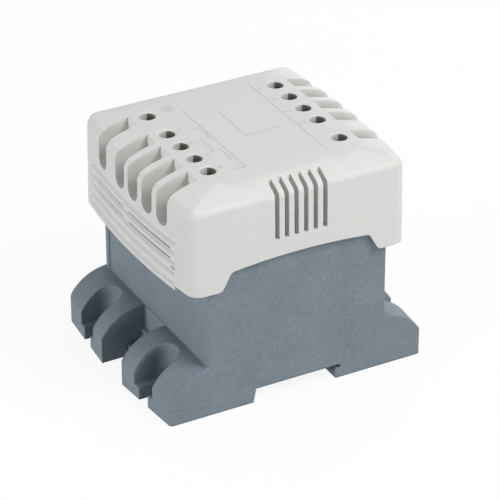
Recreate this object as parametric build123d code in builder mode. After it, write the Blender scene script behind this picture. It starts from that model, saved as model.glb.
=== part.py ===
from build123d import *
import os
from math import asin, cos, degrees, radians, sin, sqrt, tan

# Enclosed control transformer: a moulded base with slotted feet and a rail seat, a moulded cover with
# the wire slots, and the core, coil and terminals that the two hold between them.
# X runs from foot to foot, Y along the mounting rail, and Z up from the underside of the feet.
# Lengths are in millimetres and angles in degrees.

# Overall
height = 90.2
end_radius = 308.0

# Laminated core
leg = 12.0
stack = 40.0

# Coil former and windings
former_gap = 0.3
former_wall = 1.2
former_proud = 0.4
coil_air = 0.5
wrap_thickness = 0.4
winding_end_gap = 0.1
winding_corner = 3.5

# Base moulding
rail_depth = 5.65
floor_thickness = 2.35
base_wall = 2.2
base_corner = 1.5
core_side_gap = 4.3
coil_end_gap = 2.6
rim_drop = 26.7
rib_thickness = 2.0
rib_gap = 0.3
rib_grip = 1.4
rib_drop = 8.5
end_panel_depth = 0.3
end_panel_margin = 4.0
floor_pocket_web = 2.4

# Feet
foot_length = 18.0
foot_height = 20.3
foot_end_height = 10.3
foot_crown_radius = 19.2
foot_gap = 16.8
foot_edge = 1.0
fix_inset = 8.9
fix_spacing_y = 47.5
channel_width = 12.5
channel_floor = 5.1
slot_width = 6.0

# Rail seat with its fixed hook
rail_width = 35.0
rail_play = 0.3
rail_offset = 0.22
hook_lip = 1.45
hook_grip = 1.9
hook_nose = 2.4
hook_nose_drop = 2.85
hook_toe = 1.75
seat_flare = 1.15

# Rail latch and its spring
latch_travel = 4.0
latch_play = 0.3
latch_ground = 0.6
latch_half_width = 7.6
latch_flange = 2.8
latch_ledge = 2.3
latch_tongue = 7.8
latch_nose = 1.9
latch_nose_top = 4.0
latch_nose_face = 1.4
latch_stop_wall = 2.4
latch_window_half = 3.0
latch_window_web = 3.6
spring_room = 7.0
spring_strip = 0.45
spring_height = 2.2
spring_folds = 5
post_length = 1.5
post_foot = 1.5
pull_length = 3.2
pull_half_width = 3.6
pull_edge = 1.6
lip_proud = 1.5
lip_top = 10.5

# Cover moulding
cover_wall = 2.0
room_facets = 2
room_corner = 2.2
cover_play = 0.2
cover_overhang = 9.7
cover_corner = 5.5
corner_proud = 0.02
cover_draft = 1.0
roof = 2.0
panel_drop = 39.8
post_drop = 38.1
shoulder_drop = 31.1
crown_drop = 29.5
shoulder_half = 28.3
arch_foot_half = 32.2
arch_corner = 2.5
edge_drop = 4.7
edge_slope = 28.0
top_round = 2.4
crown_bands = 3
blank_margin = 3.0

# Side vents
vent_count = 6
vent_width = 1.75
vent_pitch = 3.92
vent_drop = 22.8
vent_baffle = 1.3
vent_air = 0.6
vent_side = 1.2

# Ribbed end panels
panel_near = 32.6
panel_far = 36.0
panel_lip = 40.5
rib_pitch = 4.1
rib_count = 5
rib_first_drop = 37.1
groove_width = 2.8
groove_floor = 1.2
groove_depth = 1.1
groove_runout = 2.4
slit_height = 1.0
slit_runs = ((-31.0, -8.0), (-3.0, 28.0))
edge_hole = 1.9
edge_hole_width = 2.6
edge_hole_drop = 31.9
lug_half_width = 3.0
lug_place = 20.0
lug_height = 2.5
lug_drop = 36.2
lug_catch = 1.0
lug_root = 0.4
lug_play = 0.3

# Terminals
terminal_pitch = 10.667
terminal_inset = 6.85
round_sides = 16
hole_radius = 3.0
hole_rim = 0.55
wire_slot_width = 7.4
wire_slot_drop = 17.2
slot_floor = 2.0
slot_back_wall = 1.4
pocket_length = 9.5
pocket_width = 8.4
pocket_drop = 3.7
well_gap = 0.5
partition = 2.3
corner_roof = 7.2
wire_width = 6.4
wire_height = 6.0
wire_rise = 0.6
carrier_thickness = 2.2
carrier_margin = 1.3
carrier_leg_width = 3.0
carrier_leg_place = 10.0
carrier_leg_inset = 2.2
bar_thickness = 0.8
bar_width = 4.0
bar_play = 0.2
bar_rise = 6.0
bar_reach = 3.9
clamp_length = 6.4
clamp_width = 7.2
clamp_height = 10.4
clamp_wall = 0.9
clamp_roof = 2.0
screw_radius = 2.3
screw_thread_gap = 0.1
screw_tip_gap = 0.1
screw_drop = 1.0
screw_sides = 12
thread_sides = 8
driver_slot_width = 1.0
driver_slot_depth = 1.1
strap_gap = 0.5

# Places that follow from the sizes above
core_half_width = 3 * leg
core_seat = rail_depth + floor_thickness
core_top = core_seat + 5 * leg
former_half_x = stack / 2 + leg + former_proud
former_half_y = 2 * leg - former_gap
tube_half_x = stack / 2 + former_gap + former_wall
tube_half_y = leg + former_gap + former_wall
winding_build = leg - former_gap - former_wall - wrap_thickness - coil_air
former_bottom = core_seat + leg
former_top = core_seat + 4 * leg - former_gap
chamber = (former_top - former_bottom - 3 * former_wall) / 2
chamber_floors = (former_bottom + former_wall, former_bottom + 2 * former_wall + chamber)

base_inner_x = former_half_x + coil_end_gap
base_inner_y = core_half_width + core_side_gap
base_half_x = base_inner_x + base_wall
base_half_y = base_inner_y + base_wall
rim = height - rim_drop
foot_reach = base_half_x + foot_length
foot_middle = (base_half_y + foot_gap / 2) / 2
fix_x = foot_reach - fix_inset
crown_z = foot_height - foot_crown_radius
crown_inset = sqrt(foot_crown_radius**2 - (foot_end_height - crown_z)**2)

seat_hook_x = rail_offset + (rail_width + rail_play) / 2
seat_latch_x = rail_offset - (rail_width + rail_play) / 2
window_end = seat_latch_x - latch_window_web
post_x = window_end - spring_room

cover_half_y = base_half_y + cover_play + cover_wall
cover_reach = base_half_x + cover_overhang
cover_bottom = height - panel_drop
cover_inner_y = cover_half_y - cover_wall
vent_face = core_half_width + vent_air
vent_back = vent_face + vent_baffle
vent_half = vent_count * vent_pitch / 2 + vent_side

edge_level = height - edge_drop
edge_inset = (panel_drop - edge_drop) * tan(radians(cover_draft))
edge_rise = tan(radians(edge_slope))
crown_radius = edge_drop / (1 - cos(radians(edge_slope)))
crown_width = crown_radius * sin(radians(edge_slope))
terminal_x = stack / 2 + terminal_inset
terminal_steps = (2.25, 0.75, -0.25, -1.25, -2.25)
terminal_row = [step * terminal_pitch for step in terminal_steps]
row_half = max(terminal_row)
slot_half = wire_slot_width / 2
slot_bottom = height - wire_slot_drop
block_bottom = slot_bottom - slot_floor
slot_face = terminal_x + pocket_length / 2 + slot_back_wall
well_half = stack / 2 + well_gap
pocket_roof = height - pocket_drop
carrier_bottom = block_bottom - carrier_thickness
bar_bottom = block_bottom + bar_rise
bar_top = bar_bottom + bar_thickness
clamp_top = block_bottom + clamp_height


def end_plane(reach, turn):
    """Upright plane through the axis of the convex end at -X, turned towards -Y: local x is the radius."""
    angle = radians(turn)
    return Plane(
        origin=(end_radius - reach, 0, 0),
        x_dir=(-cos(angle), -sin(angle), 0),
        z_dir=(-sin(angle), cos(angle), 0),
    )


def end_x(reach, offset):
    """How far a convex end reaches at a place across it."""
    return reach - end_radius + sqrt(end_radius**2 - offset**2)


def end_axis(reach):
    """Upright axis that the convex end at -X is turned about."""
    return Axis((end_radius - reach, 0, 0), (0, 0, 1))


def turn_at(offset):
    """Turn of the end plane that reaches a place across the convex end."""
    return degrees(asin(offset / end_radius))


def edge_round(edge, level):
    """Places along the round between a drafted wall and the slope over it, from the wall up."""
    turn = 90 - cover_draft - edge_slope
    wall = radians(90 + cover_draft)
    slope = radians(180 - edge_slope)
    inward = radians(270 + (cover_draft - edge_slope) / 2 - 45)
    run = top_round * tan(radians(turn / 2))
    sink = top_round / cos(radians(turn / 2)) - top_round
    return [
        (edge - run * cos(wall), level - run * sin(wall)),
        (edge + sink * cos(inward), level + sink * sin(inward)),
        (edge + run * cos(slope), level + run * sin(slope)),
    ]


def coil_plan(half_x, half_y, corner):
    """Plan of a coil round the former: a rectangle with its corners cut off."""
    with BuildSketch() as plan:
        Rectangle(2 * half_x, 2 * half_y)
        chamfer(plan.vertices(), corner)
    return plan.sketch


os.makedirs("parts", exist_ok=True)

# Base: feet that each face square to the convex end, then the walled box, its seat and its guides
with BuildPart() as base:
    for turn in (turn_at(foot_middle), -turn_at(foot_middle)):
        with BuildSketch(end_plane(foot_reach, turn)):
            with BuildLine():
                inner = end_radius - foot_length - base_wall
                rise = degrees(asin((foot_end_height - crown_z) / foot_crown_radius))
                crown = CenterArc((end_radius - crown_inset, crown_z), foot_crown_radius, rise, 90 - rise)
                Polyline(crown @ 1, (inner, foot_height), (inner, 0), (end_radius, 0), crown @ 0)
            make_face()
        extrude(amount=base_half_y - foot_middle + base_wall, both=True)
    mirror(about=Plane.YZ)
    with BuildSketch():
        Rectangle(2 * (foot_reach + base_wall), 2 * base_half_y)
    extrude(amount=foot_height, mode=Mode.INTERSECT)
    with BuildSketch():
        Rectangle(2 * base_half_x, 2 * base_half_y)
    extrude(amount=rim)
    fillet(base.edges().filter_by(Axis.Z).group_by(SortBy.LENGTH)[-1], base_corner)
    upright_edges = base.edges().filter_by(Axis.Z)
    fillet(upright_edges.filter_by(lambda e: abs(e.center().X) > base_half_x + foot_edge), base_corner)

    # Gap between the two feet of each end, with a guide lip over the latch
    with BuildSketch():
        with GridLocations(2 * base_half_x + 2 * foot_length, 0, 2, 1):
            Rectangle(2 * foot_length, foot_gap)
    extrude(amount=foot_height + foot_edge, mode=Mode.SUBTRACT)
    with BuildSketch(Plane.XY.offset(rail_depth)):
        with Locations((-base_half_x, 0)):
            Rectangle(2 * lip_proud, foot_gap)
    extrude(amount=lip_top - rail_depth)

    # Screw channels and slots, open at the ends of the feet
    for floor, width in ((channel_floor, channel_width), (0, slot_width)):
        with BuildSketch(Plane.XY.offset(floor)):
            with GridLocations(2 * fix_x, fix_spacing_y, 2, 2):
                Circle(width / 2)
            with GridLocations(2 * (fix_x + fix_inset), fix_spacing_y, 2, 2):
                Rectangle(2 * fix_inset, width)
        extrude(amount=foot_height, mode=Mode.SUBTRACT)

    # Room for the core, with pockets in the floor beside the rail seat
    with BuildSketch(Plane.XY.offset(core_seat)):
        Rectangle(2 * base_inner_x, 2 * base_inner_y)
    extrude(amount=rim, mode=Mode.SUBTRACT)
    pocket_inner_x = max(stack / 2, seat_hook_x) + floor_pocket_web
    pocket_inner_y = latch_half_width + latch_flange + latch_play + floor_pocket_web
    with BuildSketch(Plane.XY.offset(floor_pocket_web)):
        with GridLocations(pocket_inner_x + base_inner_x, pocket_inner_y + base_inner_y, 2, 2):
            Rectangle(base_inner_x - pocket_inner_x, base_inner_y - pocket_inner_y)
    extrude(amount=core_seat, mode=Mode.SUBTRACT)

    # Ribs that hold the core along and across the base
    rib_end = core_half_width - rib_grip
    with BuildSketch(Plane.XY.offset(core_seat)):
        with GridLocations(stack + 2 * rib_gap + rib_thickness, rib_end + base_inner_y, 2, 2):
            Rectangle(rib_thickness, base_inner_y - rib_end)
        with GridLocations(0, core_half_width + rib_gap + base_inner_y, 1, 2):
            Rectangle(rib_thickness, core_side_gap - rib_gap)
    extrude(amount=rim - core_seat - rib_drop)

    # Shallow panel on each end wall
    for side in (-1, 1):
        with BuildSketch(Plane.YZ.offset(side * (base_half_x - end_panel_depth))):
            with Locations((0, foot_height)):
                Rectangle(2 * (base_half_y - end_panel_margin), rim, align=(Align.CENTER, Align.MIN))
        extrude(amount=side * base_wall, mode=Mode.SUBTRACT)

    # Windows in the end walls, which the cover's hooks catch in
    with BuildSketch(Plane.YZ):
        with Locations((-lug_place, height - lug_drop), (lug_place, height - lug_drop)):
            Rectangle(2 * (lug_half_width + lug_play), lug_height + 2 * lug_play)
    extrude(amount=base_half_x + base_wall, both=True, mode=Mode.SUBTRACT)

    # Rail seat: a flared wall at the latch, and an undercut hook at the other side
    hook_shelf = rail_depth - hook_lip
    with BuildSketch(Plane.XZ):
        Polygon(
            (seat_latch_x - seat_flare, 0),
            (seat_latch_x, rail_depth),
            (seat_hook_x, rail_depth),
            (seat_hook_x, hook_shelf),
            (seat_hook_x - hook_grip, hook_shelf),
            (seat_hook_x - hook_nose, rail_depth - hook_nose_drop),
            (seat_hook_x - hook_toe, 0),
            align=None,
        )
    extrude(amount=base_half_y, both=True, mode=Mode.SUBTRACT)

    # Guideway of the latch: a wide run for its flanges over two ledges, and the post of its spring
    guide_half = latch_half_width + latch_play
    flange_half = latch_half_width + latch_flange
    with BuildSketch():
        with Locations((seat_latch_x, 0)):
            Rectangle(foot_reach, 2 * guide_half, align=(Align.MAX, Align.CENTER))
    extrude(amount=rail_depth, mode=Mode.SUBTRACT)
    with BuildSketch(Plane.XY.offset(latch_ledge)):
        with Locations((seat_latch_x, 0)):
            Rectangle(
                base_half_x + seat_latch_x - latch_stop_wall,
                2 * (flange_half + latch_play),
                align=(Align.MAX, Align.CENTER),
            )
    extrude(amount=rail_depth - latch_ledge, mode=Mode.SUBTRACT)
    with BuildSketch(Plane.XY.offset(post_foot)):
        with Locations((post_x, 0)):
            Rectangle(post_length, 2 * (latch_window_half - latch_play), align=(Align.MAX, Align.CENTER))
    extrude(amount=core_seat - post_foot)
base.part.label = "base"
export_step(base.part, "parts/base.step")

# Room inside the cover: over the core, down to the base, and in the corners beside the terminals
room_reach = cover_reach - cover_wall
room_ys = [cover_inner_y * step / room_facets for step in range(-room_facets, room_facets + 1)]
room_end = [(end_x(room_reach, y), y) for y in room_ys]
with BuildPart() as cover_room:
    with BuildSketch(Plane.XY.offset(cover_bottom)) as room_plan:
        Polygon(*room_end, *[(-x, -y) for x, y in room_end], align=None)
        chamfer(room_plan.vertices().group_by(SortBy.DISTANCE)[-1], room_corner)
    extrude(amount=block_bottom - cover_bottom)
    with BuildSketch(Plane.XY.offset(cover_bottom)):
        Rectangle(2 * well_half, 2 * cover_inner_y)
    extrude(amount=panel_drop - roof)
    slope_foot = height - roof - edge_drop
    slope_top_y = cover_half_y - edge_drop / edge_rise
    with BuildSketch(Plane.YZ):
        for side in (-1, 1):
            Polygon(
                (side * slope_top_y, height - roof),
                (side * cover_half_y, slope_foot),
                (side * cover_half_y, height),
                (side * slope_top_y, height),
                align=None,
            )
    extrude(amount=cover_reach, both=True, mode=Mode.SUBTRACT)
    corner_start = row_half + slot_half + partition
    corner_inner = well_half + partition
    corner_outer = terminal_x + pocket_length
    with BuildSketch(Plane.XY.offset(cover_bottom)):
        with GridLocations(corner_inner + corner_outer, corner_start + cover_inner_y, 2, 2):
            Rectangle(corner_outer - corner_inner, cover_inner_y - corner_start)
    extrude(amount=panel_drop - corner_roof)
    with BuildSketch(Plane.XY.offset(rim)):
        with GridLocations(0, vent_face + cover_half_y, 1, 2):
            Rectangle(2 * vent_half, cover_half_y - vent_face)
    extrude(amount=rim_drop, mode=Mode.SUBTRACT)

# Cutter for the ribbed end panels: grooves along the convex end, which stop at the near edge of the panel
# and run out at the far one. Two of them are slit through the wall, and a small hole is at the near edge.
rib_levels = [height - rib_first_drop + number * rib_pitch for number in range(rib_count)]
with BuildPart() as panel_cut:
    far_turn = turn_at(panel_far + groove_runout)
    for level in rib_levels:
        face_radius = end_radius - (level - cover_bottom) * tan(radians(cover_draft))
        flare = (groove_width - groove_floor) / 2
        with BuildSketch(end_plane(cover_reach, -far_turn)):
            with Locations((face_radius - groove_depth, level)):
                Polygon(
                    (0, -groove_floor / 2),
                    (2 * groove_depth, -groove_floor / 2 - 2 * flare),
                    (2 * groove_depth, groove_floor / 2 + 2 * flare),
                    (0, groove_floor / 2),
                    align=None,
                )
        revolve(axis=end_axis(cover_reach), revolution_arc=far_turn + turn_at(panel_near))
    runout_start = panel_far - groove_runout
    runout_end = panel_far + 3 * groove_runout
    with BuildSketch(Plane.XY.offset(cover_bottom)):
        Polygon(
            (2 * groove_depth - end_x(cover_reach, runout_start), runout_start),
            (-2 * groove_depth - end_x(cover_reach, runout_end), runout_end),
            (2 * groove_depth - end_x(cover_reach, runout_start), runout_end),
            align=None,
        )
    extrude(amount=panel_drop, mode=Mode.SUBTRACT)
    for level in rib_levels[-3:-1]:
        for start, end in slit_runs:
            with BuildSketch(end_plane(cover_reach, turn_at(start))):
                with Locations((end_radius, level)):
                    Rectangle(2 * cover_wall + 2 * groove_depth, slit_height)
            revolve(axis=end_axis(cover_reach), revolution_arc=turn_at(end) - turn_at(start))
    with BuildSketch(Plane.XY.offset(height - edge_hole_drop - edge_hole / 2)):
        with Locations((-end_x(cover_reach, panel_near), -panel_near)):
            Rectangle(2 * cover_wall + 2 * groove_depth, edge_hole_width, align=(Align.CENTER, Align.MIN))
    extrude(amount=edge_hole)
    mirror(about=Plane.YZ)

# Cutter for the arched lower edge of each side, between the four corner posts
with BuildPart() as skirt_cut:
    with BuildSketch(Plane.XZ) as arch:
        with BuildLine():
            Polyline(
                (shoulder_half, height - shoulder_drop),
                (arch_foot_half, height - post_drop),
                (cover_reach, height - post_drop),
                (cover_reach, cover_bottom),
                (-cover_reach, cover_bottom),
                (-cover_reach, height - post_drop),
                (-arch_foot_half, height - post_drop),
                (-shoulder_half, height - shoulder_drop),
            )
            ThreePointArc(
                (-shoulder_half, height - shoulder_drop),
                (0, height - crown_drop),
                (shoulder_half, height - shoulder_drop),
            )
        make_face()
        fillet(arch.vertices().filter_by(lambda v: abs(v.X) < cover_reach), arch_corner)
    extrude(amount=cover_half_y, both=True)
    with BuildSketch(Plane.XY.offset(cover_bottom)):
        with Locations((0, (panel_lip - panel_near) / 2)):
            Rectangle(2 * cover_reach, panel_near + panel_lip)
    extrude(amount=panel_drop, mode=Mode.SUBTRACT)

# Cutters for the outside of the cover: each takes away what lies beyond a drafted wall, a round and a
# slope. The ends are turned about the axis of the convex end, with a crown up to the flat top.
blank_top = height + blank_margin
end_turn = turn_at(cover_half_y + 2 * blank_margin)
with BuildPart() as end_cut:
    edge_radius = end_radius - edge_inset
    crown_start = edge_radius - crown_width
    crown_steps = [radians(edge_slope * (1 - band / crown_bands)) for band in range(1, crown_bands + 1)]
    with BuildSketch(end_plane(cover_reach, -end_turn)):
        Polygon(
            (end_radius, cover_bottom),
            *edge_round(edge_radius, edge_level),
            *[
                (crown_start + crown_radius * sin(step), height - crown_radius * (1 - cos(step)))
                for step in crown_steps
            ],
            (end_radius - cover_reach - blank_margin, height),
            (end_radius - cover_reach - blank_margin, blank_top),
            (end_radius + 4 * blank_margin, blank_top),
            (end_radius + 4 * blank_margin, cover_bottom),
            align=None,
        )
    revolve(axis=end_axis(cover_reach), revolution_arc=2 * end_turn)
    mirror(about=Plane.YZ)

with BuildPart() as side_cut:
    edge_y = cover_half_y - edge_inset
    with BuildSketch(Plane.YZ):
        Polygon(
            (cover_half_y, cover_bottom),
            *edge_round(edge_y, edge_level),
            (edge_y - (edge_drop + blank_margin) / edge_rise, blank_top),
            (cover_half_y + 2 * blank_margin, blank_top),
            (cover_half_y + 2 * blank_margin, cover_bottom),
            align=None,
        )
    extrude(amount=cover_reach + 2 * blank_margin, both=True)
    mirror(about=Plane.XZ)

corner_y = cover_half_y - cover_corner
corner_x = cover_reach - end_radius + sqrt((end_radius - cover_corner)**2 - corner_y**2)
corner_turn = 90 - degrees(asin(corner_y / (end_radius - cover_corner)))
with BuildPart() as corner_cut:
    edge_corner = cover_corner + corner_proud - edge_inset
    corner_level = edge_level + corner_proud
    with BuildSketch(Plane((-corner_x, -corner_y, 0), x_dir=(0, -1, 0), z_dir=(-1, 0, 0))):
        Polygon(
            (cover_corner + corner_proud, cover_bottom),
            *edge_round(edge_corner, corner_level),
            (0, corner_level + edge_corner * edge_rise),
            (0, blank_top),
            (cover_corner + 2 * blank_margin, blank_top),
            (cover_corner + 2 * blank_margin, cover_bottom),
            align=None,
        )
    revolve(axis=Axis((-corner_x, -corner_y, 0), (0, 0, -1)), revolution_arc=corner_turn)
    mirror(about=Plane.YZ)
    mirror(about=Plane.XZ)

# Cutter for the screwdriver holes, each with a chamfered rim
terminals = [(side * terminal_x, -side * place) for side in (-1, 1) for place in terminal_row]
with BuildPart() as hole_cut:
    with BuildSketch(Plane.XY.offset(pocket_roof - hole_rim)):
        with Locations(terminals):
            RegularPolygon(hole_radius, round_sides, major_radius=False)
    extrude(amount=pocket_drop)
    with BuildSketch(Plane.XY.offset(height - hole_rim)):
        with Locations(terminals):
            RegularPolygon(hole_radius, round_sides, major_radius=False)
    extrude(amount=2 * hole_rim, taper=-45)

with BuildPart() as cover:
    with BuildSketch(Plane.XY.offset(cover_bottom)):
        Rectangle(2 * (cover_reach + blank_margin), 2 * (cover_half_y + blank_margin))
    extrude(amount=blank_top - cover_bottom)
    add(end_cut.part, mode=Mode.SUBTRACT)
    add(side_cut.part, mode=Mode.SUBTRACT)
    add(corner_cut.part, mode=Mode.SUBTRACT)
    add(cover_room.part, mode=Mode.SUBTRACT)
    add(skirt_cut.part, mode=Mode.SUBTRACT)

    # Wire slots, open at the top and at the end, and the window from each to its clamp
    for side in (-1, 1):
        with BuildSketch(Plane.YZ.offset(side * slot_face)):
            for place in terminal_row:
                with Locations((-side * place, slot_bottom + slot_half)):
                    RegularPolygon(slot_half, round_sides, major_radius=False, rotation=180 / round_sides)
                    Rectangle(wire_slot_width, wire_slot_drop, align=(Align.CENTER, Align.MIN))
        extrude(amount=side * cover_reach, mode=Mode.SUBTRACT)
        with BuildSketch(Plane.YZ.offset(side * terminal_x)):
            for place in terminal_row:
                with Locations((-side * place, slot_bottom + wire_rise)):
                    Rectangle(wire_width, wire_height, align=(Align.CENTER, Align.MIN))
        extrude(amount=side * (slot_face - terminal_x + slot_half), mode=Mode.SUBTRACT)

    # Pockets for the clamps, open below, and the screwdriver holes over them
    with BuildSketch(Plane.XY.offset(block_bottom)):
        with Locations(terminals):
            Rectangle(pocket_length, pocket_width)
    extrude(amount=pocket_roof - block_bottom, mode=Mode.SUBTRACT)
    add(hole_cut.part, mode=Mode.SUBTRACT)

    # Side vents: narrow slots down to a baffle, each with a duct behind the wall into the cover
    with BuildSketch(Plane.XY.offset(height - vent_drop)):
        with GridLocations(vent_pitch, vent_back + cover_half_y, vent_count, 2):
            Rectangle(vent_width, cover_half_y - vent_back)
    extrude(amount=vent_drop, mode=Mode.SUBTRACT)
    with BuildSketch(Plane.XY.offset(rim)):
        with GridLocations(vent_pitch, vent_back + base_half_y, vent_count, 2):
            Rectangle(vent_width, base_half_y - vent_back)
    extrude(amount=rim_drop - vent_drop, mode=Mode.SUBTRACT)

    add(panel_cut.part, mode=Mode.SUBTRACT)

    # Hooks that reach in from the ribbed panels and catch in the windows of the base
    hook_root = end_x(room_reach + lug_root, lug_place)
    hook_tip = base_half_x - lug_catch
    with BuildSketch(Plane.XY.offset(height - lug_drop - lug_height / 2)):
        with GridLocations(hook_root + hook_tip, 2 * lug_place, 2, 2):
            Rectangle(hook_root - hook_tip, 2 * lug_half_width)
    extrude(amount=lug_height)
cover.part.label = "cover"
export_step(cover.part, "parts/cover.step")

# Rail latch: a flanged slider with a nose under the rail, a window for its spring and a pull slot
nose_x = seat_latch_x + latch_nose
latch_top = rail_depth - latch_play
latch_tail = -base_half_x - latch_tongue
with BuildPart() as rail_latch:
    with BuildSketch(Plane.XZ):
        Polygon(
            (latch_tail, latch_ground),
            (seat_latch_x - latch_nose_face, latch_ground),
            (nose_x, latch_nose_top - latch_nose_face),
            (nose_x, latch_nose_top),
            (seat_latch_x - latch_play, latch_nose_top),
            (seat_latch_x - latch_play, latch_top),
            (latch_tail, latch_top),
            align=None,
        )
    extrude(amount=latch_half_width, both=True)
    flange_start = base_half_x - latch_stop_wall - latch_travel - latch_play
    with BuildSketch(Plane.XY.offset(latch_ledge + latch_play)):
        with Locations((-flange_start, 0)):
            Rectangle(
                flange_start + seat_latch_x - seat_flare, 2 * flange_half, align=(Align.MIN, Align.CENTER)
            )
    extrude(amount=latch_top - latch_ledge - latch_play)
    with BuildSketch():
        with Locations((window_end, 0)):
            Rectangle(
                spring_room + post_length + latch_play,
                2 * latch_window_half,
                align=(Align.MAX, Align.CENTER),
            )
        with Locations((latch_tail + pull_edge, 0)):
            Rectangle(pull_length, 2 * pull_half_width, align=(Align.MIN, Align.CENTER))
    extrude(amount=rail_depth, mode=Mode.SUBTRACT)
rail_latch.part.label = "rail_latch"
export_step(rail_latch.part, "parts/rail_latch.step")

# Latch spring: a folded strip between the post of the base and the end of the latch's window
fold_half = latch_window_half - latch_play - spring_strip
fold_start = post_x + spring_strip
fold_step = (spring_room - 2 * spring_strip) / (spring_folds - 1)
with BuildPart() as latch_spring:
    with BuildSketch(Plane.XY.offset((latch_ground + latch_top - spring_height) / 2)):
        with BuildLine():
            Polyline(
                [
                    (fold_start + fold * fold_step, side * fold_half)
                    for fold in range(spring_folds)
                    for side in ((-1, 1) if fold % 2 else (1, -1))
                ]
            )
        trace(line_width=spring_strip)
    extrude(amount=spring_height)
latch_spring.part.label = "latch_spring"
export_step(latch_spring.part, "parts/latch_spring.step")

# Core: upright laminations, stacked along X and welded together
with BuildPart() as core_e_stack:
    with BuildSketch(Plane.YZ):
        with Locations((0, core_seat)):
            Rectangle(2 * core_half_width, 4 * leg, align=(Align.CENTER, Align.MIN))
        with Locations((-1.5 * leg, former_bottom), (1.5 * leg, former_bottom)):
            Rectangle(leg, 3 * leg, align=(Align.CENTER, Align.MIN), mode=Mode.SUBTRACT)
    extrude(amount=stack / 2, both=True)
core_e_stack.part.label = "core_e_stack"
export_step(core_e_stack.part, "parts/core_e_stack.step")

with BuildPart() as core_i_stack:
    with BuildSketch(Plane.YZ):
        with Locations((0, core_top)):
            Rectangle(2 * core_half_width, leg, align=(Align.CENTER, Align.MAX))
    extrude(amount=stack / 2, both=True)
core_i_stack.part.label = "core_i_stack"
export_step(core_i_stack.part, "parts/core_i_stack.step")

# Coil former: a tube on the centre leg with three flanges, which part the two windings
with BuildPart() as coil_former:
    for level in (former_bottom, chamber_floors[1] - former_wall, former_top - former_wall):
        with BuildSketch(Plane.XY.offset(level)):
            Rectangle(2 * former_half_x, 2 * former_half_y)
        extrude(amount=former_wall)
    with BuildSketch(Plane.XY.offset(former_bottom)):
        Rectangle(2 * tube_half_x, 2 * tube_half_y)
    extrude(amount=former_top - former_bottom)
    with BuildSketch(Plane.XY.offset(former_bottom)):
        Rectangle(stack + 2 * former_gap, 2 * (leg + former_gap))
    extrude(amount=former_top - former_bottom, mode=Mode.SUBTRACT)
coil_former.part.label = "coil_former"
export_step(coil_former.part, "parts/coil_former.step")

# Windings and the tape round each, one pair in each chamber of the former
winding_half_x = tube_half_x + winding_build
winding_half_y = tube_half_y + winding_build
wrap_corner = winding_corner + (2 - sqrt(2)) * wrap_thickness
winding_plan = coil_plan(winding_half_x, winding_half_y, winding_corner)
wrap_plan = coil_plan(winding_half_x + wrap_thickness, winding_half_y + wrap_thickness, wrap_corner)
for name, chamber_floor in zip(("primary", "secondary"), chamber_floors):
    with BuildPart() as winding:
        with BuildSketch(Plane.XY.offset(chamber_floor + winding_end_gap)):
            add(winding_plan)
            Rectangle(2 * tube_half_x, 2 * tube_half_y, mode=Mode.SUBTRACT)
        extrude(amount=chamber - 2 * winding_end_gap)
    winding.part.label = f"{name}_winding"
    export_step(winding.part, f"parts/{name}_winding.step")

    with BuildPart() as wrap:
        with BuildSketch(Plane.XY.offset(chamber_floor + winding_end_gap)):
            add(wrap_plan)
            add(winding_plan, mode=Mode.SUBTRACT)
        extrude(amount=chamber - 2 * winding_end_gap)
    wrap.part.label = f"{name}_wrap"
    export_step(wrap.part, f"parts/{name}_wrap.step")

# Terminal carriers: strips under the cover's terminal blocks, on legs that stand on the coil former
bar_x = terminal_x - pocket_length / 2 + bar_play + bar_thickness
for name, side in (("secondary", -1), ("primary", 1)):
    with BuildPart() as carrier:
        with BuildSketch(Plane.XY.offset(carrier_bottom)):
            with Locations((side * (well_half + slot_face) / 2, 0)):
                Rectangle(slot_face - well_half, 2 * (row_half + pocket_width / 2 + carrier_margin))
            with Locations([(side * (bar_x - bar_thickness / 2), -side * place) for place in terminal_row]):
                Rectangle(bar_thickness + 2 * bar_play, bar_width + 2 * bar_play, mode=Mode.SUBTRACT)
        extrude(amount=carrier_thickness)
        leg_inner = bar_x + carrier_leg_inset
        leg_outer = former_half_x - carrier_leg_inset
        with BuildSketch(Plane.XY.offset(former_top)):
            with GridLocations(0, 2 * carrier_leg_place, 1, 2):
                with Locations((side * (leg_inner + leg_outer) / 2, 0)):
                    Rectangle(leg_outer - leg_inner, carrier_leg_width)
        extrude(amount=carrier_bottom - former_top)
    carrier.part.label = f"{name}_carrier"
    export_step(carrier.part, f"parts/{name}_carrier.step")

# Contact bars: bent strips from each clamp, through the carrier, down to the coil former
for name, side in (("secondary", -1), ("primary", 1)):
    for number, place in enumerate(terminal_row, start=1):
        if side < 0 and place == row_half:
            continue
        with BuildPart() as contact_bar:
            with BuildSketch(Plane.XZ.offset(side * place)):
                Polygon(
                    (side * (terminal_x + bar_reach), bar_top),
                    (side * (bar_x - bar_thickness), bar_top),
                    (side * (bar_x - bar_thickness), former_top),
                    (side * bar_x, former_top),
                    (side * bar_x, bar_bottom),
                    (side * (terminal_x + bar_reach), bar_bottom),
                    align=None,
                )
            extrude(amount=bar_width / 2, both=True)
        contact_bar.part.label = f"{name}_bar_{number}"
        export_step(contact_bar.part, f"parts/{name}_bar_{number}.step")

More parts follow.
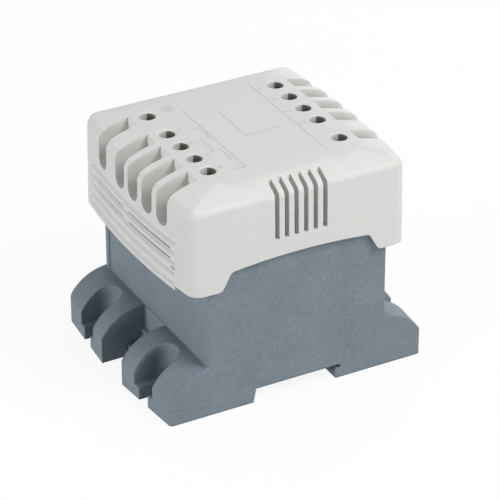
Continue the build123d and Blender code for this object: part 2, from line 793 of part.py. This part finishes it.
# Earth strap: from the clamp that stands apart, through the carrier, to a foot welded to the core
strap_knee = carrier_bottom - bar_thickness
strap_bottom = former_top + strap_gap
with BuildPart() as earth_strap:
    with BuildSketch(Plane.XZ.offset(-row_half)):
        Polygon(
            (-terminal_x - bar_reach, bar_top),
            (-bar_x + bar_thickness, bar_top),
            (-bar_x + bar_thickness, strap_knee),
            (-stack / 2, strap_knee),
            (-stack / 2, strap_bottom),
            (-stack / 2 - bar_thickness, strap_bottom),
            (-stack / 2 - bar_thickness, strap_knee - bar_thickness),
            (-bar_x, strap_knee - bar_thickness),
            (-bar_x, bar_bottom),
            (-terminal_x - bar_reach, bar_bottom),
            align=None,
        )
    extrude(amount=bar_width / 2, both=True)
earth_strap.part.label = "earth_strap"
export_step(earth_strap.part, "parts/earth_strap.step")

# Terminal clamps: square cages round the ends of the bars, each tapped for its screw
for name, side in (("secondary", -1), ("primary", 1)):
    for number, place in enumerate(terminal_row, start=1):
        with BuildPart() as clamp:
            with BuildSketch(Plane.YZ.offset(side * terminal_x)):
                with Locations((-side * place, block_bottom)):
                    Rectangle(clamp_width, clamp_height, align=(Align.CENTER, Align.MIN))
                with Locations((-side * place, block_bottom + clamp_wall)):
                    Rectangle(
                        clamp_width - 2 * clamp_wall,
                        clamp_height - clamp_wall - clamp_roof,
                        align=(Align.CENTER, Align.MIN),
                        mode=Mode.SUBTRACT,
                    )
            extrude(amount=clamp_length / 2, both=True)
            with BuildSketch(Plane.XY.offset(clamp_top)):
                with Locations((side * terminal_x, -side * place)):
                    RegularPolygon(screw_radius + screw_thread_gap, thread_sides, major_radius=False)
            extrude(amount=-clamp_roof, mode=Mode.SUBTRACT)
        clamp.part.label = f"{name}_clamp_{number}"
        export_step(clamp.part, f"parts/{name}_clamp_{number}.step")

# Terminal screws: slotted, under the screwdriver holes, threaded down to the bars
head_top = pocket_roof - screw_drop
with BuildPart() as terminal_screws:
    with BuildSketch(Plane.XY.offset(bar_top + screw_tip_gap)):
        with Locations(terminals):
            RegularPolygon(screw_radius, screw_sides)
    extrude(amount=head_top - bar_top - screw_tip_gap)
    with BuildSketch(Plane.XY.offset(head_top)):
        with Locations(terminals):
            Rectangle(driver_slot_width, 2 * screw_radius)
    extrude(amount=-driver_slot_depth, mode=Mode.SUBTRACT)
terminal_screws.part.label = "terminal_screws"
export_step(terminal_screws.part, "parts/terminal_screws.step")
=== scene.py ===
import math

import bmesh
import bpy
import numpy as np
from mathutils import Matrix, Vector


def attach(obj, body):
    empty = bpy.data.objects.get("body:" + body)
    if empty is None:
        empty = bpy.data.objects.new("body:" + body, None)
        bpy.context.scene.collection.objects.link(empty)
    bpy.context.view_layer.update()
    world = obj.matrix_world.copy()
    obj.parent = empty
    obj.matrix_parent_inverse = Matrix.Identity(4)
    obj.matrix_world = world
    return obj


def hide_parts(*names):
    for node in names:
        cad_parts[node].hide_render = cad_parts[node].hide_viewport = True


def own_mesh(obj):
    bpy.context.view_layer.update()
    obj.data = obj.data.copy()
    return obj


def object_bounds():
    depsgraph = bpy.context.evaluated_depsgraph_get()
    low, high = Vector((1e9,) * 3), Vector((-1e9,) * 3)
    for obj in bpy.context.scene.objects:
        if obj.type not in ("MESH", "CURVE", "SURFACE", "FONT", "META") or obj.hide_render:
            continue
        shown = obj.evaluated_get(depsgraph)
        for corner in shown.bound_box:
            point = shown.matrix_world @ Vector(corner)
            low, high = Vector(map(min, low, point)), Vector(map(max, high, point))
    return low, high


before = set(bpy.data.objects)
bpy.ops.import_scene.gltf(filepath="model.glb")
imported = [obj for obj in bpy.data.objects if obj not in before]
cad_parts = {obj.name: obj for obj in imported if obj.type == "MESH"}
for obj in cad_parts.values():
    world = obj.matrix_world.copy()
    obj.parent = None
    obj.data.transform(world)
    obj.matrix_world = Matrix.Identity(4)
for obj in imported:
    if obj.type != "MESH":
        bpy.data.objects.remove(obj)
solid_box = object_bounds()


# Base: one thick-walled moulding in blue-grey filled plastic, with a fine matt skin from the mould.
# The feet, the rail hook and the guide of the latch are part of the same shot, and the core stands in it.
class Amount:
    """A number or colour that varies over a surface. Operators on a number add Math nodes behind it."""

    def __init__(self, finish, socket):
        self.finish = finish
        self.socket = socket

    def join(self, operation, first, second):
        return self.finish.add("ShaderNodeMath", {"operation": operation}, {0: first, 1: second})

    def __add__(self, other):
        return self.join("ADD", self, other)

    def __mul__(self, other):
        return self.join("MULTIPLY", self, other)

    def __gt__(self, other):
        return self.join("GREATER_THAN", self, other)

    def sine(self):
        return self.join("SINE", self, 0.0)

    __radd__ = __add__
    __rmul__ = __mul__


class Finish:
    """A material: its Principled shader, and one method that adds any other node that it needs."""

    def __init__(self, name):
        self.material = bpy.data.materials.new(name)
        self.material.use_nodes = True
        self.tree = self.material.node_tree
        self.shader = self.tree.nodes["Principled BSDF"]
        self.place = self.add("ShaderNodeTexCoord", {}, {}, "Object")

    def add(self, kind, settings, inputs, output=0):
        """Adds a node, with its settings first, then the value or link of each named or numbered socket."""
        node = self.tree.nodes.new(kind)
        for name, value in settings.items():
            setattr(node, name, value)
        self.feed(node, inputs)
        return Amount(self, node.outputs[output])

    def feed(self, node, inputs):
        """Links each socket of a node to an amount that varies, or sets its value."""
        for name, value in inputs.items():
            if isinstance(value, Amount):
                self.tree.links.new(value.socket, node.inputs[name])
            else:
                node.inputs[name].default_value = value

    def axis(self, letter):
        """Place along one axis of the object, in millimetres."""
        return self.add("ShaderNodeSeparateXYZ", {}, {0: self.place}, letter) * 1000.0

    def noise(self, size, detail):
        """Cloudy noise from 0 to 1 whose blotches are about size millimetres across."""
        return self.add("ShaderNodeTexNoise", {}, {"Vector": self.place, "Scale": 1000.0 / size, "Detail": detail})

    def blend(self, factor, first, second):
        """Colour between two colours."""
        return self.add("ShaderNodeMix", {"data_type": "RGBA"}, {0: factor, 6: first, 7: second}, 2)

    def bump(self, height, depth, edge=0.0):
        """Normal of a surface that rises by height times depth, with edges rounded off to edge, in millimetres."""
        relief = {"Strength": 1.0, "Distance": depth / 1000.0, "Height": height}
        if edge:
            relief["Normal"] = self.add("ShaderNodeBevel", {"samples": 6}, {"Radius": edge / 1000.0})
        return self.add("ShaderNodeBump", {}, relief)

    def dress(self, *names):
        """Puts the material on solids of the frame."""
        for name in names:
            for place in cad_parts[name].material_slots:
                place.material = self.material


def srgb(red, green, blue):
    """Linear colour from the 0 to 255 values of a colour card."""
    card = np.array([red, green, blue]) / 255.0
    linear = np.where(card > 0.04045, ((card + 0.055) / 1.055) ** 2.4, card / 12.92)
    return (*linear.tolist(), 1.0)


def moulded(name, pale, dark, grain, relief, gloss, edge=0.0, specks=0.0):
    """Moulded plastic: flow clouds and a fine skin shift the colour, and the skin gives the matt relief.
    Specks is how much the highest grains of the skin, which wear bare of the matt film, are paler."""
    cloud_size, skin_share, gloss_range = 14.0 * grain, 0.6, 0.2
    worn_from, worn_to = 0.56, 0.7
    plastic = Finish(name)
    skin = plastic.noise(grain, 3.0)
    clouds = plastic.noise(cloud_size, 3.0)
    worn = plastic.add("ShaderNodeMapRange", {}, {"Value": skin, "From Min": worn_from, "From Max": worn_to})
    paleness = skin * skin_share + clouds * (1.0 - skin_share) + worn * specks
    plastic.feed(plastic.shader, {
        "Base Color": plastic.blend(paleness, dark, pale),
        "Roughness": skin * gloss_range + (gloss - gloss_range / 2),
        "Normal": plastic.bump(skin, relief, edge),
    })
    return plastic


base_plastic = moulded(
    "base_plastic", pale=srgb(138, 151, 161), dark=srgb(87, 99, 109),
    grain=1.0, relief=0.045, gloss=0.62, edge=1.2, specks=0.08,
)
base_plastic.dress("base")

# Rail latch: a slider moulded in the same blue-grey plastic, which runs in the guide under the floor.
# A flat strip of spring steel, folded to and fro, pushes it back against the rail.
latch_plastic = moulded(
    "latch_plastic", pale=srgb(122, 134, 142), dark=srgb(106, 117, 125), grain=0.5, relief=0.02, gloss=0.55
)
latch_plastic.dress("rail_latch")


def drawn_metal(name, bright, dull, grain, gloss):
    """Plain metal: a fine grain drawn out along Z shifts the colour and the gloss a little."""
    squeeze, gloss_range, relief = 0.15, 0.25, 0.01
    metal = Finish(name)
    stretched = metal.add("ShaderNodeMapping", {}, {"Vector": metal.place, "Scale": (1.0, 1.0, squeeze)})
    streak = metal.add("ShaderNodeTexNoise", {}, {"Vector": stretched, "Scale": 1000.0 / grain, "Detail": 3.0})
    metal.feed(metal.shader, {
        "Base Color": metal.blend(streak, dull, bright),
        "Roughness": streak * gloss_range + (gloss - 0.1),
        "Metallic": 1.0,
        "Normal": metal.bump(streak, relief),
    })
    return metal


spring_steel = drawn_metal("spring_steel", srgb(190, 190, 188), srgb(150, 150, 150), grain=0.4, gloss=0.3)


def joined(name, source, finish, crease, flat_crease, shape=None):
    """Copy of a solid whose loose triangles share their corners, so that narrow bands shade as one round.
    Shape changes the copy first. Edges that turn by more degrees than crease stay sharp, and on the flat top
    those that turn by more than flat_crease."""
    shared_digits, top_band = 6, 0.00005
    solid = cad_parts[source].data
    corners = np.zeros(3 * len(solid.vertices))
    solid.vertices.foreach_get("co", corners)
    indices = np.zeros(3 * len(solid.polygons), dtype=int)
    solid.polygons.foreach_get("vertices", indices)
    rounded = np.round(corners.reshape(-1, 3), shared_digits)
    points, first = np.unique(rounded, axis=0, return_inverse=True)
    faces = first.reshape(-1)[indices].reshape(-1, 3)
    faces = faces[(faces != np.roll(faces, 1, axis=1)).all(axis=1)]
    skin = bpy.data.meshes.new(name)
    skin.from_pydata(points.tolist(), [], faces.tolist())
    if shape:
        shape(skin)
    skin.polygons.foreach_set("use_smooth", np.ones(len(skin.polygons), dtype=bool))
    corners = np.zeros(3 * len(skin.vertices))
    skin.vertices.foreach_get("co", corners)
    height = corners.reshape(-1, 3)[:, 2]
    sharp = {}
    for limit in (crease, flat_crease):
        skin.set_sharp_from_angle(angle=math.radians(limit))
        sharp[limit] = np.zeros(len(skin.edges), dtype=bool)
        skin.edges.foreach_get("use_edge_sharp", sharp[limit])
    ends = np.zeros(2 * len(skin.edges), dtype=int)
    skin.edges.foreach_get("vertices", ends)
    on_top = (height[ends.reshape(-1, 2)] > height.max() - top_band).all(axis=1)
    skin.edges.foreach_set("use_edge_sharp", np.where(on_top, sharp[flat_crease], sharp[crease]))
    skin.materials.append(finish.material)
    piece = bpy.data.objects.new(name, skin)
    bpy.context.scene.collection.objects.link(piece)
    weights = piece.modifiers.new("face_weights", "WEIGHTED_NORMAL")
    weights.keep_sharp = True
    weights.weight = 90
    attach(piece, "housing")
    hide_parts(source)
    return piece


spring_strip = joined("spring_strip", "latch_spring", spring_steel, crease=35.0, flat_crease=35.0)
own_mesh(spring_strip)

# Core: E and I stampings of thin varnished sheet steel, stacked along X and welded across their edges.
# The cut edges of the sheets show as fine lines round the stack.
sheet_pitch = 0.5
core_steel = Finish("core_steel")
sheet_edge = (core_steel.axis("X") * (2.0 * math.pi / sheet_pitch)).sine() * 0.5 + 0.5
varnish = core_steel.noise(6.0, 4.0)
core_steel.feed(core_steel.shader, {
    "Base Color": core_steel.blend(sheet_edge * 0.6 + varnish * 0.4, srgb(72, 72, 74), srgb(128, 126, 124)),
    "Roughness": varnish * 0.3 + 0.4,
    "Metallic": 0.8,
    "Normal": core_steel.bump(sheet_edge, 0.06),
})
core_steel.dress("core_e_stack", "core_i_stack")

# Coil former: a bobbin moulded in natural nylon, which slides over the centre leg of the core.
# A wall in its middle parts the chamber of the primary from that of the secondary.
former_nylon = moulded(
    "former_nylon", pale=srgb(226, 220, 202), dark=srgb(208, 201, 180), grain=0.6, relief=0.015, gloss=0.5
)
former_nylon.dress("coil_former")

# Windings: layers of enamelled copper wire, wound round the former, so that the turns lie one over another.
# Each is closed with a few turns of amber polyester tape.
wire_pitch, tape_width = 0.7, 9.0
wire_enamel = Finish("wire_enamel")
turns = (wire_enamel.axis("Z") * (2.0 * math.pi / wire_pitch)).sine() * 0.5 + 0.5
wire_enamel.feed(wire_enamel.shader, {
    "Base Color": wire_enamel.blend(turns, srgb(112, 48, 22), srgb(186, 98, 52)),
    "Roughness": 0.3,
    "Metallic": 0.7,
    "Normal": wire_enamel.bump(turns, 0.2),
})
wire_enamel.dress("primary_winding", "secondary_winding")

amber_tape = Finish("amber_tape")
tape_lap = (amber_tape.axis("Z") * (2.0 * math.pi / tape_width)).sine() > 0.95
tape_creases = amber_tape.noise(2.5, 4.0)
amber_tape.feed(amber_tape.shader, {
    "Base Color": amber_tape.blend(tape_creases * 0.5 + tape_lap * 0.4, srgb(222, 178, 60), srgb(182, 132, 30)),
    "Roughness": tape_creases * 0.2 + 0.15,
    "Normal": amber_tape.bump(tape_creases, 0.05),
})
amber_tape.dress("primary_wrap", "secondary_wrap")

# Terminal carriers: strips moulded in dark plastic, one under each row of clamps.
# They stand on the former on legs, and hold the clamps and the contact bars in place.
carrier_plastic = moulded(
    "carrier_plastic", pale=srgb(74, 76, 78), dark=srgb(58, 60, 62), grain=0.5, relief=0.015, gloss=0.5
)
carrier_plastic.dress("primary_carrier", "secondary_carrier")

# Contact bars: bent brass strips, one from each clamp down to the former, where the coil's wire ends.
# The strap of the separate earth terminal is bent to the core instead, and welded to it.
bar_brass = drawn_metal("bar_brass", srgb(214, 184, 112), srgb(176, 144, 78), grain=0.5, gloss=0.35)
bar_brass.dress(*(f"primary_bar_{number}" for number in range(1, 6)))
bar_brass.dress(*(f"secondary_bar_{number}" for number in range(2, 6)))
bar_brass.dress("earth_strap")

# Clamps and screws: cages pressed from sheet steel, each drawn up against its bar by a slotted screw.
# All of them are zinc plated.
zinc_plate = drawn_metal("zinc_plate", srgb(205, 203, 196), srgb(150, 149, 144), grain=0.6, gloss=0.38)
zinc_plate.dress(*(f"{row}_clamp_{number}" for row in ("primary", "secondary") for number in range(1, 6)))
zinc_plate.dress("terminal_screws")

# Cover: one light grey moulding, pressed over the base until its hooks catch in the end walls.
# It carries the wire slots, the screwdriver holes, the vents and the ribbed ends.
cover_plastic = moulded(
    "cover_plastic", pale=srgb(220, 220, 218), dark=srgb(212, 212, 209),
    grain=0.4, relief=0.012, gloss=0.6, edge=0.25,
)
cover_plastic.feed(cover_plastic.shader, {"Specular IOR Level": 0.2})


def draw_in_ends(skin):
    """Ends of the cover, a little rounder under the crown than the solid: each level is cut into the faces, then
    moved in by its inset, which fades with the depth under the convex end. Lengths are in millimetres."""
    levels = np.array([82.35, 83.2, 84.09, 85.3, 86.16, 86.94])
    insets = np.array([0.0, 0.08, 0.31, 0.61, 0.48, 0.0])
    end_radius, end_reach, rim_level, draft = 308.0, 46.9, 50.4, math.radians(1.0)
    fade_start, fade_end = 3.0, 12.0
    body = bmesh.new()
    body.from_mesh(skin)
    for level in levels:
        everything = body.verts[:] + body.edges[:] + body.faces[:]
        cut = (0, 0, level / 1000.0)
        bmesh.ops.bisect_plane(body, geom=everything, dist=1e-6, plane_co=cut, plane_no=(0, 0, 1))
    body.to_mesh(skin)
    body.free()
    corners = np.zeros(3 * len(skin.vertices))
    skin.vertices.foreach_get("co", corners)
    x, y, z = 1000.0 * corners.reshape(-1, 3).T
    end_middle = end_reach - end_radius
    out = np.hypot(np.abs(x) - end_middle, y)
    depth = end_radius - (z - rim_level) * math.tan(draft) - out
    fade = np.clip((fade_end - depth) / (fade_end - fade_start), 0.0, 1.0)
    inset = np.interp(z, levels, insets) * fade
    x = np.sign(x) * (end_middle + np.sqrt((out - inset) ** 2 - y ** 2))
    skin.vertices.foreach_set("co", np.column_stack([x, y, z]).ravel() / 1000.0)
    skin.update()


cover_skin = joined("cover_skin", "cover", cover_plastic, crease=35.0, flat_crease=20.0, shape=draw_in_ends)

# Screwdriver holes: round holes moulded through the roof of the cover, one over the screw of each clamp.
# On the inner side of each hole its wall faces take a darker finish: painted shade, for the half of the wall that
# the lamps leave dark.
hole_painted_shade = moulded(
    "hole_painted_shade", pale=srgb(136, 131, 126), dark=srgb(112, 108, 103), grain=0.4, relief=0.012, gloss=0.7
)
cover_skin.data.materials.append(hole_painted_shade.material)
row_distance, row_places = 26.85, (24.0, 8.0, -2.667, -13.333, -24.0)
hole_reach, hole_bottom, hole_top, dark_turn = 3.05, 86.4, 89.6, math.radians(22.5)
hole_places = [(-row_distance, place) for place in row_places]
hole_places += [(-x, -y) for x, y in hole_places]
face_middles = np.zeros(3 * len(cover_skin.data.polygons))
cover_skin.data.polygons.foreach_get("center", face_middles)
face_x, face_y, face_z = 1000.0 * face_middles.reshape(-1, 3).T
# Wall faces of each hole on its inner side, past the turned line, take the painted shade.
in_painted_shade = np.zeros(len(face_z), dtype=bool)
for x, y in hole_places:
    across, along = face_x - x, face_y - y
    in_hole = (np.hypot(across, along) < hole_reach) & (hole_bottom < face_z) & (face_z < hole_top)
    in_painted_shade |= in_hole & (across * math.cos(dark_turn) > along * math.sin(dark_turn))
cover_skin.data.polygons.foreach_set("material_index", in_painted_shade.astype(int))

# Print on the cover: thin grey ink, pad printed on the flat top once the parts are together.
# Lines frame the field and link neighbouring clamps, and plain numbers count the clamps.
print_level = solid_box[1][2] + 0.00002
ink_width = 0.00042


def ribbon(points, width):
    """Flat ribbon along a path: each point moves out to both sides, half a width along the mitre of its turns."""
    path = np.array(points) / 1000.0
    run = np.diff(path, axis=0)
    run /= np.linalg.norm(run, axis=1)[:, None]
    side = np.stack([-run[:, 1], run[:, 0]], axis=1)
    before = np.vstack([side[:1], side])
    after = np.vstack([side, side[-1:]])
    mitre = (before + after) / (1.0 + (before * after).sum(axis=1))[:, None]
    rims = np.stack([path - mitre * width / 2, path + mitre * width / 2], axis=1).reshape(-1, 2)
    step = 2 * np.arange(len(path) - 1)[:, None]
    return np.column_stack([rims, np.full(len(rims), print_level)]), step + np.array([0, 2, 3, 1])


def ring(centre, radius, width, count=48):
    """Flat ring: two circles about a centre, joined by a band of quads."""
    turn = np.arange(count) * (2.0 * np.pi / count)
    way = np.stack([np.cos(turn), np.sin(turn)], axis=1)
    middle = np.array(centre) / 1000.0
    inner, outer = radius / 1000.0 - width / 2, radius / 1000.0 + width / 2
    rims = np.stack([middle + way * inner, middle + way * outer], axis=1).reshape(-1, 2)
    first = 2 * np.arange(count)[:, None]
    band = np.hstack([first, first + 1, (first + 3) % (2 * count), (first + 2) % (2 * count)])
    return np.column_stack([rims, np.full(len(rims), print_level)]), band


def printed(name, shapes):
    """One flat mesh from several shapes, in the ink of the print, fixed to the housing."""
    starts = np.cumsum([0] + [len(points) for points, _ in shapes])
    points = np.vstack([points for points, _ in shapes])
    faces = np.vstack([faces + start for (_, faces), start in zip(shapes, starts)])
    sheet = bpy.data.meshes.new(name)
    sheet.from_pydata(points.tolist(), [], faces.tolist())
    sheet.materials.append(ink.material)
    piece = bpy.data.objects.new(name, sheet)
    bpy.context.scene.collection.objects.link(piece)
    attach(piece, "housing")


ink = Finish("grey_ink")
ink_wear = ink.noise(0.5, 3.0)
ink.feed(ink.shader, {
    "Base Color": ink.blend(ink_wear, srgb(198, 198, 195), srgb(182, 182, 178)),
    "Roughness": 0.5,
})

printed("print_lines", [
    ribbon([(18.1, 29.2), (18.1, -31.2)], ink_width),
    ribbon([(-13.6, 22.0), (-13.6, -28.0), (-18.0, -28.0)], ink_width),
    ribbon([(-2.2, 14.0), (-2.2, -6.8), (13.0, -6.8)], ink_width),
    ribbon([(-17.0, 6.6), (-14.6, 6.6), (-14.6, -2.1), (-17.0, -2.1)], ink_width),
    ribbon([(-19.6, -2.1), (-18.0, -2.1), (-18.0, -11.9), (-19.6, -11.9)], ink_width),
    ribbon([(-17.2, -11.9), (-15.4, -11.9), (-15.4, -20.4), (-17.2, -20.4)], ink_width),
])
printed("earth_sign", [
    ring((-17.8, 25.6), 2.3, ink_width),
    ribbon([(-17.8, 27.3), (-17.8, 25.7)], ink_width),
    ribbon([(-19.3, 25.7), (-16.3, 25.7)], ink_width),
    ribbon([(-18.8, 25.0), (-16.8, 25.0)], ink_width),
    ribbon([(-18.3, 24.3), (-17.3, 24.3)], ink_width),
])


def number_mesh(digit, centre, tall):
    """Printed digit: its outline is filled, turned to read along -Y, and moved to its place on the top."""
    tall_share = 0.7
    letter = bpy.data.curves.new("digit", "FONT")
    letter.body = digit
    letter.size = tall / 1000.0 / tall_share
    letter.align_x = "CENTER"
    letter.align_y = "CENTER"
    carrier = bpy.data.objects.new("digit", letter)
    bpy.context.scene.collection.objects.link(carrier)
    bpy.context.view_layer.update()
    flat = bpy.data.meshes.new_from_object(carrier.evaluated_get(bpy.context.evaluated_depsgraph_get()))
    bpy.data.objects.remove(carrier)
    corners = np.zeros(3 * len(flat.vertices))
    flat.vertices.foreach_get("co", corners)
    along, across = corners.reshape(-1, 3)[:, 0], corners.reshape(-1, 3)[:, 1]
    placed = np.column_stack([
        centre[0] / 1000.0 + across, centre[1] / 1000.0 - along, np.full(len(along), print_level)
    ])
    flat.vertices.foreach_set("co", placed.ravel())
    flat.materials.clear()
    flat.materials.append(ink.material)
    return flat


digit_height = 2.6
for row, column, way, first in (("secondary", -21.9, 1, 1), ("primary", 20.4, -1, 0)):
    for count, place in enumerate(row_places[first:], start=1):
        digit = number_mesh(str(count), (column, way * place), digit_height)
        numeral = bpy.data.objects.new(f"{row}_number_{count}", digit)
        bpy.context.scene.collection.objects.link(numeral)
        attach(numeral, "housing")

# Studio: a white table and backdrop, which look white to the camera and still take the object's shadow.
# To the lamps the table is a mid grey sheet, so that it throws little light back up at the object.
table_half, paper_bounce, white_share, room_light = 4.0, 0.35, 0.9, 0.25
table = bpy.data.meshes.new("table")
table_corners = table_half * np.array([(-1, -1, 0), (1, -1, 0), (1, 1, 0), (-1, 1, 0)])
table.from_pydata(table_corners.tolist(), [], [(0, 1, 2, 3)])
table_piece = bpy.data.objects.new("table", table)
bpy.context.scene.collection.objects.link(table_piece)
paper = Finish("white_paper")
paper.feed(paper.shader, {"Base Color": (paper_bounce, paper_bounce, paper_bounce, 1.0), "Roughness": 0.9})
seen = paper.add("ShaderNodeLightPath", {}, {}, "Is Camera Ray")
glossy = paper.add("ShaderNodeLightPath", {}, {}, "Is Glossy Ray")
through = paper.add("ShaderNodeLightPath", {}, {}, "Is Transmission Ray")
white = paper.add("ShaderNodeEmission", {}, {"Color": (1.0, 1.0, 1.0, 1.0), "Strength": 1.0})
shaded = paper.add("ShaderNodeBsdfDiffuse", {}, {"Color": (1.0, 1.0, 1.0, 1.0)})
looked_at = paper.add("ShaderNodeMixShader", {}, {0: white_share, 1: shaded, 2: white})
lit = Amount(paper, paper.shader.outputs[0])
paper_mix = paper.add("ShaderNodeMixShader", {}, {0: seen + glossy + through, 1: lit, 2: looked_at})
paper.feed(paper.tree.nodes["Material Output"], {"Surface": paper_mix})
table.materials.append(paper.material)

studio = bpy.data.worlds.new("studio")
studio.use_nodes = True
bpy.context.scene.world = studio
air = studio.node_tree
room = air.nodes["Background"]
room.inputs["Color"].default_value = (1.0, 1.0, 1.0, 1.0)
room.inputs["Strength"].default_value = room_light
wall = air.nodes.new("ShaderNodeBackground")
wall.inputs["Color"].default_value = (1.0, 1.0, 1.0, 1.0)
wall.inputs["Strength"].default_value = 1.0
path = air.nodes.new("ShaderNodeLightPath")
choice = air.nodes.new("ShaderNodeMixShader")
air.links.new(path.outputs["Is Camera Ray"], choice.inputs[0])
air.links.new(room.outputs[0], choice.inputs[1])
air.links.new(wall.outputs[0], choice.inputs[2])
air.links.new(choice.outputs[0], air.nodes["World Output"].inputs["Surface"])

# Lamps: square soft boxes on stands round the table, all turned to the middle of the object.
# They are high on the right, low in front, low on the left, high at the back, and low behind on the right.
aim = np.array([0.0, 0.0, 0.045])


def soft_box(name, place, size, power):
    """Square area lamp whose axis points at the middle of the object."""
    lamp = bpy.data.lights.new(name, "AREA")
    lamp.size = size
    lamp.energy = power
    holder = bpy.data.objects.new(name, lamp)
    holder.location = place
    back = np.array(place) - aim
    tilt = math.acos(back[2] / np.linalg.norm(back))
    holder.rotation_euler = (tilt, 0.0, math.atan2(back[1], back[0]) + math.pi / 2)
    bpy.context.scene.collection.objects.link(holder)


soft_box("key_lamp", (0.75, -1.0, 1.4), 0.8, 21.5)
soft_box("front_lamp", (0.3, -1.7, 0.3), 0.6, 9.0)
soft_box("left_lamp", (-1.55, 0.05, 0.35), 0.7, 14.2)
soft_box("back_lamp", (0.0, 0.9, 1.6), 1.2, 4.0)
soft_box("rear_lamp", (1.2, 1.4, 0.3), 0.7, 11.0)

# Camera: a long lens on a stand about a metre away, in front and to the left, a third of the way up.
# The small roll and shifts put the object where it is in the photograph's frame.
turn, rise, roll = math.radians(-28.317), math.radians(30.008), math.radians(-0.156)
distance, shift_right, shift_up, focal_length = 1.03321, -0.002662, 0.006112, 199.28
backward = np.array([math.sin(turn) * math.cos(rise), -math.cos(turn) * math.cos(rise), math.sin(rise)])
level_right = np.array([math.cos(turn), math.sin(turn), 0.0])
level_up = np.cross(backward, level_right)
right = math.cos(roll) * level_right + math.sin(roll) * level_up
up = math.cos(roll) * level_up - math.sin(roll) * level_right
eye = aim + backward * distance - right * shift_right - up * shift_up
lens = bpy.data.cameras.new("camera")
lens.lens = focal_length
camera = bpy.data.objects.new("camera", lens)
bpy.context.scene.collection.objects.link(camera)
pose = np.eye(4)
pose[:3, 0], pose[:3, 1], pose[:3, 2], pose[:3, 3] = right, up, backward, eye
camera.matrix_world = pose.T.tolist()
bpy.context.scene.camera = camera
bpy.context.scene.view_settings.view_transform = "Standard"
